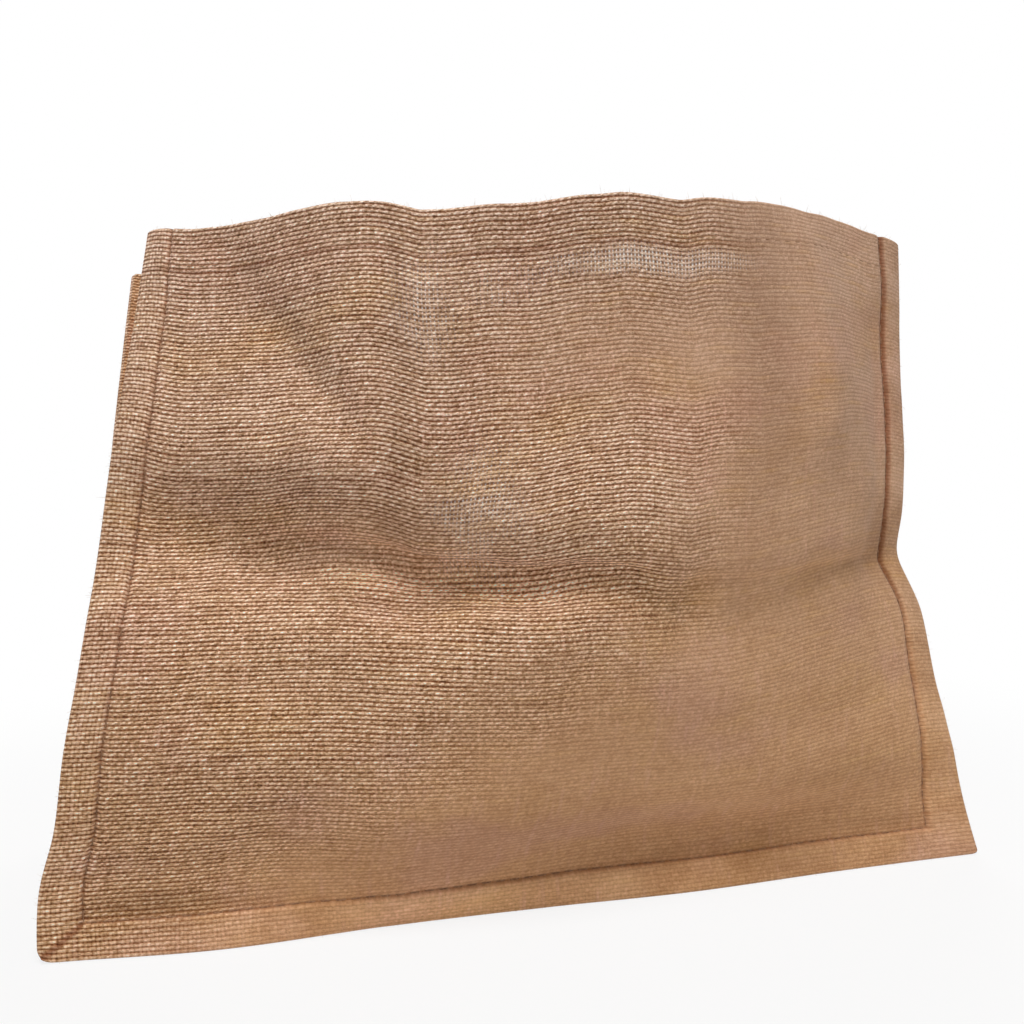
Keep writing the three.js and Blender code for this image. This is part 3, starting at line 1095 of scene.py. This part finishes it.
class Tree:
    """The nodes of one material, or of the world."""

    def __init__(self, owner: bpy.types.Material | bpy.types.World) -> None:
        """Clears the owner's nodes."""
        owner.use_nodes = True
        self.nodes = owner.node_tree.nodes
        self.links = owner.node_tree.links
        self.nodes.clear()

    def node(self, kind: str, settings: dict, inputs: dict) -> bpy.types.Node:
        """Adds a node.

        Args:
            kind: the node's type.
            settings: its settings, which are set first.
            inputs: the value or the link of each socket, by name or number.

        Returns:
            The node.
        """
        made = self.nodes.new(kind)
        for name, value in settings.items():
            setattr(made, name, value)
        for name, value in inputs.items():
            link = value.socket if isinstance(value, Field) else value
            if isinstance(link, bpy.types.NodeSocket):
                self.links.new(link, made.inputs[name])
            else:
                made.inputs[name].default_value = value
        return made

    def field(self, kind: str, settings: dict, inputs: dict, output: str | int = 0) -> Field:
        """Adds a node and gives one of its outputs as a field."""
        return Field(self, self.node(kind, settings, inputs).outputs[output])

    def vector(self, *parts: Amount) -> bpy.types.NodeSocket:
        """Three numbers as a vector."""
        return self.node("ShaderNodeCombineXYZ", {}, dict(enumerate(parts))).outputs[0]

    def parts(self, vector: bpy.types.NodeSocket) -> list[Field]:
        """A vector as three numbers."""
        split = self.node("ShaderNodeSeparateXYZ", {}, {0: vector})
        return [Field(self, output) for output in split.outputs]

    def noise(self, *parts: Amount, detail: float = 2.0) -> list[Field]:
        """Three smooth random fields, each about 0.5.

        Args:
            parts: the place in the noise.
            detail: how much finer detail it has.

        Returns:
            The three fields.
        """
        inputs = {"Vector": self.vector(*parts), "Scale": 1.0, "Detail": detail}
        made = self.node("ShaderNodeTexNoise", {"noise_dimensions": "3D"}, inputs)
        split = self.node("ShaderNodeSeparateColor", {}, {0: made.outputs["Color"]})
        return [Field(self, output) for output in split.outputs]

    def random(self, i: Field, j: Field) -> Field:
        """A random number from 0 to 1 for each pair of whole numbers."""
        settings, inputs = {"noise_dimensions": "2D"}, {"Vector": self.vector(i, j, 0.0)}
        return self.field("ShaderNodeTexWhiteNoise", settings, inputs, "Value")

    def mix(self, share: Amount, first: object, second: object) -> bpy.types.NodeSocket:
        """Mixes two colours.

        Args:
            share: how much of the second.
            first: a colour or a link.
            second: a colour or a link.

        Returns:
            The mixed colour.
        """
        inputs = {0: share, 6: first, 7: second}
        return self.node("ShaderNodeMix", {"data_type": "RGBA"}, inputs).outputs[2]

    def tinted(
        self, colour: bpy.types.NodeSocket, level: Field, green: float, blue: float
    ) -> bpy.types.NodeSocket:
        """A colour times a level, which counts for more in green and in blue than in red.

        Args:
            colour: the colour.
            level: the level.
            green: the power of the level for green.
            blue: the power of the level for blue.

        Returns:
            The tinted colour.
        """
        tint = self.vector(level, level.maths("POWER", green), level.maths("POWER", blue))
        settings = {"data_type": "RGBA", "blend_type": "MULTIPLY"}
        return self.node("ShaderNodeMix", settings, {0: 1.0, 6: colour, 7: tint}).outputs[2]

    def dress(self, height: Field, strength: float, relief: float, look: dict) -> None:
        """Ends a material's tree in its shader.

        Args:
            height: the height of its bumps.
            strength: how strongly they show.
            relief: how high a height of 1 is, in metres.
            look: the shader's other inputs.
        """
        inputs = {"Strength": strength, "Distance": relief, "Height": height}
        bump = self.node("ShaderNodeBump", {}, inputs).outputs[0]
        shader = self.node("ShaderNodeBsdfPrincipled", {}, {**look, "Normal": bump})
        self.node("ShaderNodeOutputMaterial", {}, {"Surface": shader.outputs[0]})


def linear(red: int, green: int, blue: int) -> Colour:
    """A screen colour as the renderer's own, with full alpha."""
    parts = [c / 255 for c in (red, green, blue)]
    straight = [c / 12.92 if c <= 0.04045 else ((c + 0.055) / 1.055) ** 2.4 for c in parts]
    return (*straight, 1.0)


@dataclass(frozen=True)
class Patch:
    """A place on the cloth where the finish changes, strongest in the middle."""

    across: float
    up: float
    reach: Pair
    strength: float


@dataclass(frozen=True)
class WearAndPaintedLight:
    """Where one piece of cloth is worn smooth, where painted light shows through its thin places,
    and where painted shade and painted light lie on it.

    The cloth right of two lines, which meet at the bend, is smooth; run_down and run_up are
    the ways the lines go from there.
    """

    bend: Pair = (242.0, 168.0)
    run_down: Pair = (-200.0, -130.0)
    run_up: Pair = (20.0, 178.0)
    smooth_over: Pair = (-20.0, 62.0)
    rubbed: tuple[Patch, ...] = ()
    # Where the weave is thin. A pale painted light shows through it there, standing in for light
    # from behind the cloth.
    thin: tuple[Patch, ...] = ()
    # Painted shade where a patch's strength is above 0 and painted light where it is below 0.
    painted_shade_and_light: tuple[Patch, ...] = ()


@dataclass(frozen=True)
class JuteFinish:
    """Plain-weave natural jute, golden near the base and paler towards the mouth."""

    across_pitch: float = 1.8
    up_pitch: float = 1.99
    pale: Colour = linear(211, 169, 138)
    golden: Colour = linear(211, 161, 115)
    ochre: Colour = linear(207, 158, 107)
    pink: Colour = linear(208, 158, 128)
    # Painted highlight on the tops of the yarns.
    painted_highlight: Colour = linear(230, 199, 165)
    # Painted shade in the gaps and holes between the yarns.
    gap: Colour = linear(124, 56, 6)
    # Painted light that shows through the thin weave.
    light: Colour = linear(250, 246, 240)
    # The seam lines' colour, partly their own darker cloth and partly painted shade in their
    # grooves. It is also painted shade along the corner tuck and beside the right seam.
    crease: Colour = linear(126, 62, 20)
    slant: float = 1.5
    wander: Pair = (1.2, 0.45)
    yarn_half: float = 0.38
    middle_height: float = 0.42
    dark_tint: Pair = (1.35, 1.8)
    painted_shade_and_light_tint: Pair = (1.15, 1.3)
    worn_off: float = 0.82
    relief: float = 0.0008
    roughness: float = 0.9

    def make(
        self, name: str, cut: Cut | None = None, wear_and_painted_light: WearAndPaintedLight | None = None
    ) -> bpy.types.Material:
        """Makes the material.

        Args:
            name: the material's name.
            cut: the panel's sizes, when its seams and tucks are to show.
            wear_and_painted_light: where the piece is worn and thin, and where shade and light are
                painted on it.

        Returns:
            The material.
        """
        material = bpy.data.materials.new(name)
        tree = Tree(material)
        place = tree.node("ShaderNodeUVMap", {"uv_map": CLOTH_MAP}, {}).outputs[0]
        across, up = (part * (1 / METRES) for part in tree.parts(place)[:2])
        wander_a, wander_u, blotch = tree.noise(across / 30.0, up / 22.0, 3.7, detail=1.0)
        column = across / self.across_pitch + (wander_a - 0.5) * self.wander[0]
        row = up / self.up_pitch + (wander_u - 0.5) * self.wander[1]
        i, j = column.maths("FLOOR"), row.maths("FLOOR")
        weft_slub, weft_shift, weft_tone = tree.noise(column * 0.07, j * 7.31, 1.5)
        warp_slub, warp_shift, warp_tone = tree.noise(row * 0.08, i * 5.77, 9.5)
        beside_weft = row - j - 0.5 + (weft_shift - 0.5) * 0.55
        beside_warp = column - i - 0.5 + (warp_shift - 0.5) * 0.5
        fleck = tree.random(i, j)
        grain = tree.random((column * 1.6 + row * 0.5).maths("FLOOR"), (row * 3.0).maths("FLOOR"))
        fine, speck, _ = tree.noise(across * 1.3, up * 1.9, 0.0, detail=2.0)
        outside = self.outside(cut, across, up) if cut else across * 0.0 - 10.0
        flange = outside.rise(-0.5, 0.5)
        slant = self.slant - flange * (self.slant * 0.6)
        leaning = column - beside_weft * slant + j + (weft_slub - 0.5) * 1.4
        float_over = (leaning * math.pi).maths("COSINE") * 0.5 + 0.5
        off_row = beside_weft / (self.yarn_half + weft_slub * 0.22)
        row_body = (1.0 - off_row * off_row).larger(0.0)
        off_column = beside_warp / (self.yarn_half + warp_slub * 0.28)
        column_body = (1.0 - off_column * off_column).larger(0.0)
        beaded = column_body * (flange * 0.16 + 0.06) - flange * 0.06
        yarn = row_body * (float_over * 0.26 + 0.47 + beaded + (speck - 0.5) * 0.6)
        under = column_body * (warp_tone * 0.36 + 0.06)
        height = yarn.larger(under)
        nap = self.nap(tree, across, up, wear_and_painted_light) * (1.0 - flange * 0.15)
        broad_a, broad_b, broad_c = tree.noise(across / 70.0, up / 45.0, 21.0, detail=3.0)
        colour = tree.mix(up.rise(360.0, 0.0), self.pale, self.golden)
        ochre = broad_a.rise(0.5, 0.7) * 0.55 + weft_tone.rise(0.52, 0.75) * 0.55
        pink = broad_b.rise(0.5, 0.7) * 0.6 + warp_tone.rise(0.55, 0.75) * 0.35
        colour = tree.mix(ochre.clamped(), colour, self.ochre)
        colour = tree.mix(pink.clamped(), colour, self.pink)
        # Painted highlights on the yarn tops, stronger on random flecks.
        shiny = fleck.rise(0.6, 1.0) * 0.5 + 0.5
        colour = tree.mix(height.rise(0.45, 0.85) * nap * shiny, colour, self.painted_highlight)
        tone = (weft_tone - 0.5) * 0.48 + (warp_tone - 0.5) * 0.3
        # The first term is painted light on the yarn tops and painted shade low in the weave. The
        # rest is the yarns' random tone.
        bright = (
            (height - self.middle_height) * nap * 1.1
            + (grain - 0.5) * (nap * 0.72 + 0.06)
            + tone * (nap * 0.7 + 0.3)
            + (fleck - 0.5) * (nap * 0.16 + 0.08)
            + (blotch - 0.5) * flange * 0.4
            + (fine - 0.5) * (nap * 0.3 + 0.3)
            + (blotch - 0.5) * 0.12
            + (broad_c - 0.5) * 0.16
            + 1.0
        )
        # Painted shade between the yarns and in the weave's holes, darker in the flanges' open
        # weave.
        notch = tree.random(i, (row + 0.5).maths("FLOOR") + 300.0)
        between = (1.0 - float_over) * 0.2 + (notch - 0.5) * 0.35 + (grain - 0.5) * 0.8 + 0.16
        holes = (1.0 - row_body) * (1.0 - column_body)
        flange_hole_shade = flange * (holes.rise(0.1, 0.7) * 0.6 - 0.12)
        shade = (1.0 - height.rise(0.0, 0.5)) * (between + flange_hole_shade + 0.6)
        colour = tree.mix((shade * nap).clamped(), colour, self.gap)
        # Dark seam and hem lines, partly their own colour and partly painted shade in their
        # grooves.
        if cut:
            colour = tree.mix(self.sewn(cut, outside, across, up), colour, self.crease)
        colour = tree.tinted(colour, bright.larger(0.05), *self.dark_tint)
        if wear_and_painted_light:
            # Painted shade and painted light from the listed patches.
            level = 1.0 - self.patches(wear_and_painted_light.painted_shade_and_light, across, up) * 1.2
            colour = tree.tinted(colour, level, *self.painted_shade_and_light_tint)
            # Painted pale light showing through the thin weave.
            through = self.patches(wear_and_painted_light.thin, across, up) * blotch.rise(0.3, 0.65)
            through = through * (holes.rise(0.1, 0.8) * (fleck + 0.5) + (1.0 - column_body) * 0.2)
            colour = tree.mix(through.clamped() * 0.85, colour, self.light)
        look = {
            "Base Color": colour,
            "Roughness": self.roughness,
            "Specular IOR Level": 0.25,
            "Sheen Weight": 0.1,
            "Sheen Roughness": 0.6,
        }
        height = height * (nap * 0.86 + 0.14) + (fine - 0.5) * 0.3
        tree.dress(height, 1.0, self.relief, look)
        return material

    def nap(self, tree: Tree, across: Field, up: Field, wear_and_painted_light: WearAndPaintedLight | None) -> Field:
        """How strongly the weave stands out: 1 where it is fresh, less where it is worn.

        Args:
            tree: the material's nodes.
            across: the place across the cloth.
            up: the place up the cloth.
            wear_and_painted_light: where the piece is worn.

        Returns:
            The strength.
        """
        uneven, _, _ = tree.noise(across / 38.0, up / 24.0, 44.0, detail=2.0)
        if wear_and_painted_light is None:
            return (uneven - 0.5) * 0.5 + 0.8
        away = None
        for run, side in ((wear_and_painted_light.run_down, -1.0), (wear_and_painted_light.run_up, 1.0)):
            length = side * math.hypot(*run)
            off = (across - wear_and_painted_light.bend[0]) * (run[1] / length)
            off = off - (up - wear_and_painted_light.bend[1]) * (run[0] / length)
            away = off if away is None else away.larger(off)
        worn = (away + (uneven - 0.5) * 60.0).rise(*wear_and_painted_light.smooth_over)
        worn = worn.larger(self.patches(wear_and_painted_light.rubbed, across, up)).clamped()
        return 1.0 - worn * self.worn_off

    def patches(self, patches: Sequence[Patch], across: Field, up: Field) -> Field:
        """Adds up some patches.

        Args:
            patches: the patches.
            across: the place across the cloth.
            up: the place up the cloth.

        Returns:
            Their sum at each place.
        """
        total = across * 0.0
        for patch in patches:
            off_a = (across - patch.across) / patch.reach[0]
            off_u = (up - patch.up) / patch.reach[1]
            away = (off_a * off_a + off_u * off_u).maths("SQRT")
            total = total + (1.0 - away.rise(0.0, 1.0)) * patch.strength
        return total

    def outside(self, cut: Cut, across: Field, up: Field) -> Field:
        """How far outside the seams a place lies: below 0 within them."""
        beside = (across * -1.0).larger(across - cut.panel_width)
        return beside.larger(cut.seam_allowance - up)

    def sewn(self, cut: Cut, outside: Field, across: Field, up: Field) -> Field:
        """How much painted shade and darker seam colour lies beside the seams, the hem and the
        corner tuck.

        Args:
            cut: the panel's sizes.
            outside: how far outside the seams the place lies.
            across: the place across the cloth.
            up: the place up the cloth.

        Returns:
            The share of the crease's colour.
        """
        # Painted shade in a wider band where the panel dips behind the right seam.
        right_seam_shade = across.rise(cut.panel_width - 40.0, cut.panel_width) * up.rise(110.0, 170.0)
        wide = right_seam_shade * 1.6 + 1.4
        # The seam lines, partly their own darker colour and partly painted shade in the grooves.
        seam = 1.0 - (outside.maths("ABSOLUTE") / wide).rise(0.1, 1.0)
        sides = (up - cut.seam_allowance).rise(-4.0, 12.0)
        seam = seam * (right_seam_shade * 0.35 + sides * 0.12 + 0.32)
        # Painted shadow along the corner tuck's diagonal.
        tuck = ((across - up + cut.seam_allowance) * 0.7).maths("ABSOLUTE")
        tuck = (1.0 - tuck.rise(0.3, 2.2)) * outside.rise(-0.5, 0.5) * across.rise(1.0, -1.0)
        # A dark line at the hem's lower edge, partly the hem line itself and partly painted shade
        # at the edge of the doubled cloth.
        hem = (up - (cut.top - cut.hem_depth)).maths("ABSOLUTE")
        hem = (1.0 - hem.rise(0.2, 1.6)) * across.rise(330.0, 280.0) * 0.4
        return seam.larger(tuck * 0.75).larger(hem)


@dataclass(frozen=True)
class ThreadFinish:
    """Sewing thread or loose fibre: one hue, with lighter and darker places along it."""

    dark: Colour
    pale: Colour
    roughness: float = 0.85

    def make(self, name: str) -> bpy.types.Material:
        """Makes the material."""
        material = bpy.data.materials.new(name)
        tree = Tree(material)
        where = tree.node("ShaderNodeTexCoord", {}, {}).outputs["Object"]
        inputs = {"Vector": where, "Scale": 900.0, "Detail": 2.0}
        share = tree.field("ShaderNodeTexNoise", {}, inputs).rise(0.3, 0.7)
        colour = tree.mix(share, self.dark, self.pale)
        tree.dress(share, 0.5, 0.0002, {"Base Color": colour, "Roughness": self.roughness})
        return material


# ---- the studio


@dataclass(frozen=True)
class Lamp:
    """A soft square lamp that looks at the bag."""

    name: str
    place: Triple
    size: float
    power: float


@dataclass(frozen=True)
class Studio:
    """The floor, the lamps, the white surroundings and the camera."""

    target: Triple = (0.0, 0.0, 0.15)
    camera_place: Triple = (-0.1332, -0.6405, 0.2326)
    turned_right: float = 12.68
    tilted_down: float = 4.2
    rolled: float = -1.55
    lens: float = 42.16
    sensor: float = 36.0
    ambient: float = 0.12
    floor_size: float = 12.0
    floor_below: float = 0.0004
    floor_white: float = 0.8
    floor_share: float = 0.84
    shadow_fades: Pair = (0.25, 0.6)
    lamps: tuple[Lamp, ...] = (
        Lamp("key_lamp", (-0.12, -0.8, 2.2), 0.9, 37.5),
        Lamp("fill_lamp", (-0.8, -2.0, 0.8), 1.4, 3.2),
        Lamp("rear_lamp", (0.6, 1.8, 1.3), 1.4, 22.0),
    )

    def set_up(self) -> None:
        """Makes everything round the bag."""
        bpy.context.scene.view_settings.view_transform = "Standard"
        self.make_camera()
        self.make_world()
        self.make_floor()
        for lamp in self.lamps:
            self.make_lamp(lamp)

    def make_camera(self) -> None:
        """Makes the camera."""
        yaw, pitch, roll = map(math.radians, (self.turned_right, self.tilted_down, self.rolled))
        ahead = Vector(
            (math.sin(yaw) * math.cos(pitch), math.cos(yaw) * math.cos(pitch), -math.sin(pitch))
        )
        level = Vector((math.cos(yaw), -math.sin(yaw), 0.0))
        upward = level.cross(ahead)
        right = level * math.cos(roll) + upward * math.sin(roll)
        above = upward * math.cos(roll) - level * math.sin(roll)
        data = bpy.data.cameras.new("camera")
        data.lens, data.sensor_width = self.lens, self.sensor
        data.clip_start, data.clip_end = 0.01, 50.0
        camera = placed("camera", data)
        heading = Matrix((right, above, -ahead)).transposed().to_4x4()
        camera.matrix_world = Matrix.Translation(self.camera_place) @ heading
        bpy.context.scene.camera = camera

    def unlit_rays(self, tree: Tree) -> Field:
        """Tells what the camera sees, directly or by a mirror or a pane, from light.

        Args:
            tree: the nodes to add to.

        Returns:
            1 for what the camera sees and 0 for light.
        """
        path = tree.node("ShaderNodeLightPath", {}, {})
        kinds = ("Is Camera Ray", "Is Glossy Ray", "Is Transmission Ray")
        camera, glossy, through = (Field(tree, path.outputs[kind]) for kind in kinds)
        return camera.larger(glossy).larger(through)

    def make_world(self) -> None:
        """Makes the surroundings: white to the camera, and soft light for the bag."""
        world = bpy.data.worlds.new("surroundings")
        bpy.context.scene.world = world
        tree = Tree(world)
        strength = self.ambient + self.unlit_rays(tree) * (1.0 - self.ambient)
        light = tree.node(
            "ShaderNodeBackground", {}, {"Color": (1.0, 1.0, 1.0, 1.0), "Strength": strength}
        )
        tree.node("ShaderNodeOutputWorld", {}, {"Surface": light.outputs[0]})

    def make_floor(self) -> None:
        """Makes the pale floor, which keeps the bag's soft shadow."""
        material = bpy.data.materials.new("pale_floor")
        tree = Tree(material)
        white = (self.floor_white, self.floor_white, self.floor_white, 1.0)
        matt = tree.node("ShaderNodeBsdfDiffuse", {}, {"Color": white})
        plain = tree.node("ShaderNodeEmission", {}, {"Color": (1.0, 1.0, 1.0, 1.0)})
        where = tree.node("ShaderNodeTexCoord", {}, {}).outputs["Object"]
        x, y, _ = tree.parts(where)
        away = (x * x + y * y).maths("SQRT").rise(*self.shadow_fades)
        share = self.unlit_rays(tree) * (away * (1.0 - self.floor_share) + self.floor_share)
        both = tree.node(
            "ShaderNodeMixShader", {}, {0: share, 1: matt.outputs[0], 2: plain.outputs[0]}
        )
        tree.node("ShaderNodeOutputMaterial", {}, {"Surface": both.outputs[0]})
        half = self.floor_size / 2
        data = bpy.data.meshes.new("floor")
        corners = [(-half, -half), (half, -half), (half, half), (-half, half)]
        data.from_pydata([(x, y, -self.floor_below) for x, y in corners], [], [(0, 1, 2, 3)])
        data.materials.append(material)
        floor = placed("floor", data)

    def make_lamp(self, lamp: Lamp) -> None:
        """Makes one lamp, turned to the bag."""
        data = bpy.data.lights.new(lamp.name, "AREA")
        data.size, data.energy = lamp.size, lamp.power
        made = placed(lamp.name, data)
        made.location = lamp.place
        towards = Vector(self.target) - Vector(lamp.place)
        made.rotation_mode = "QUATERNION"
        made.rotation_quaternion = towards.to_track_quat("-Z", "Y")


# ---- the bag


FRONT_WEAR_AND_PAINTED_LIGHT = WearAndPaintedLight(
    rubbed=(
        Patch(236, 278, (96, 50), 0.7),
        Patch(296, 268, (66, 74), 0.8),
        Patch(120, 188, (70, 34), 0.45),
    ),
    # Thin places where painted light shows through the weave.
    thin=(
        Patch(248, 317, (72, 9), 2.6),
        Patch(165, 312, (50, 14), 1.1),
        Patch(164, 205, (32, 52), 1.0),
        Patch(140, 300, (24, 45), 0.7),
    ),
    # Painted shade where the strength is above 0 and painted light where it is below 0. Among them
    # are shade beside the upright dent, above the bottom seam and by the right seam, and light
    # under the half fold and on the bottom flange.
    painted_shade_and_light=(
        Patch(126, 270, (14, 100), 0.13),
        Patch(130, 200, (22, 18), 0.12),
        Patch(115, 172, (60, 10), -0.42),
        Patch(185, 168, (62, 9), -0.38),
        Patch(308, 270, (34, 120), 0.15),
        Patch(360, 96, (54, 70), 0.06),
        Patch(152, 284, (34, 40), 0.08),
        Patch(58, 248, (32, 30), -0.08),
        Patch(52, 146, (64, 40), -0.07),
        Patch(-14, 236, (18, 70), 0.08),
        Patch(345, 290, (60, 130), 0.06),
        Patch(265, 308, (110, 44), 0.09),
        Patch(235, 339, (190, 24), 0.09),
        Patch(414, 172, (18, 40), 0.18),
        Patch(30, 21, (60, 14), 0.26),
        Patch(215, 42, (150, 34), 0.11),
        Patch(400, 21, (45, 14), 0.14),
        Patch(165, 6, (105, 18), -0.3),
        Patch(335, 8, (60, 14), 0.16),
    ),
)


@dataclass
class Bag:
    """The whole bag."""

    cut: Cut = field(default_factory=Cut)
    slot: str = "jute"
    front_spacing: float = 2.4
    back_spacing: float = 3.2
    fine_rows: Row = tuple(np.arange(156.0, 204.0, 1.7))

    def put(self, piece: bpy.types.Object, *nodes: str) -> bpy.types.Object:
        """Joins a piece to the bag.

        Args:
            piece: the piece.
            nodes: the CAD nodes that it stands for.

        Returns:
            The piece.
        """
        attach(piece, "root")
        if nodes:
            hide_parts(*nodes)
        LOG.info("%s: %d faces", piece.name, len(piece.data.polygons))
        return piece

    def build(self) -> None:
        """Makes every piece."""
        cut = self.cut
        front, back = (StandingPanel(cut, stance) for stance in (FRONT, BACK))
        jute = JuteFinish()
        plain = jute.make("jute_cloth")
        back_jute = jute.make("back_jute_cloth", cut)
        front_jute = jute.make("front_jute_cloth", cut, FRONT_WEAR_AND_PAINTED_LIGHT)
        thread = ThreadFinish(linear(132, 94, 66), linear(178, 138, 104)).make("sewing_thread")
        fibre = ThreadFinish(linear(176, 138, 104), linear(232, 205, 172)).make("jute_fibre")
        front_piece = PanelPiece(cut, front, self.front_spacing, fine_rows=self.fine_rows)
        back_piece = PanelPiece(cut, back, self.back_spacing)
        pieces = (
            ("front_cloth", front_piece, front_jute, ["front_panel"]),
            ("back_cloth", back_piece, back_jute, ["back_panel"]),
            ("gusset_cloth", GussetPiece(cut, front, back), plain, ["gusset"]),
            ("front_stitches", StitchRows(cut, front), thread, []),
            ("back_stitches", StitchRows(cut, back), thread, []),
            ("front_fibres", LooseFibres(cut, front, 320, 900, 5), fibre, []),
            ("back_fibres", LooseFibres(cut, back, 260, 700, 6), fibre, []),
        )
        made = {
            name: self.put(piece.mesh().make(name, material), *nodes)
            for name, piece, material, nodes in pieces
        }


def main() -> None:
    """Builds the studio and the bag, in that order."""
    logging.basicConfig(level=logging.INFO, format="%(name)s: %(message)s")
    Studio().set_up()
    Bag().build()


if __name__ == "__main__":
    main()
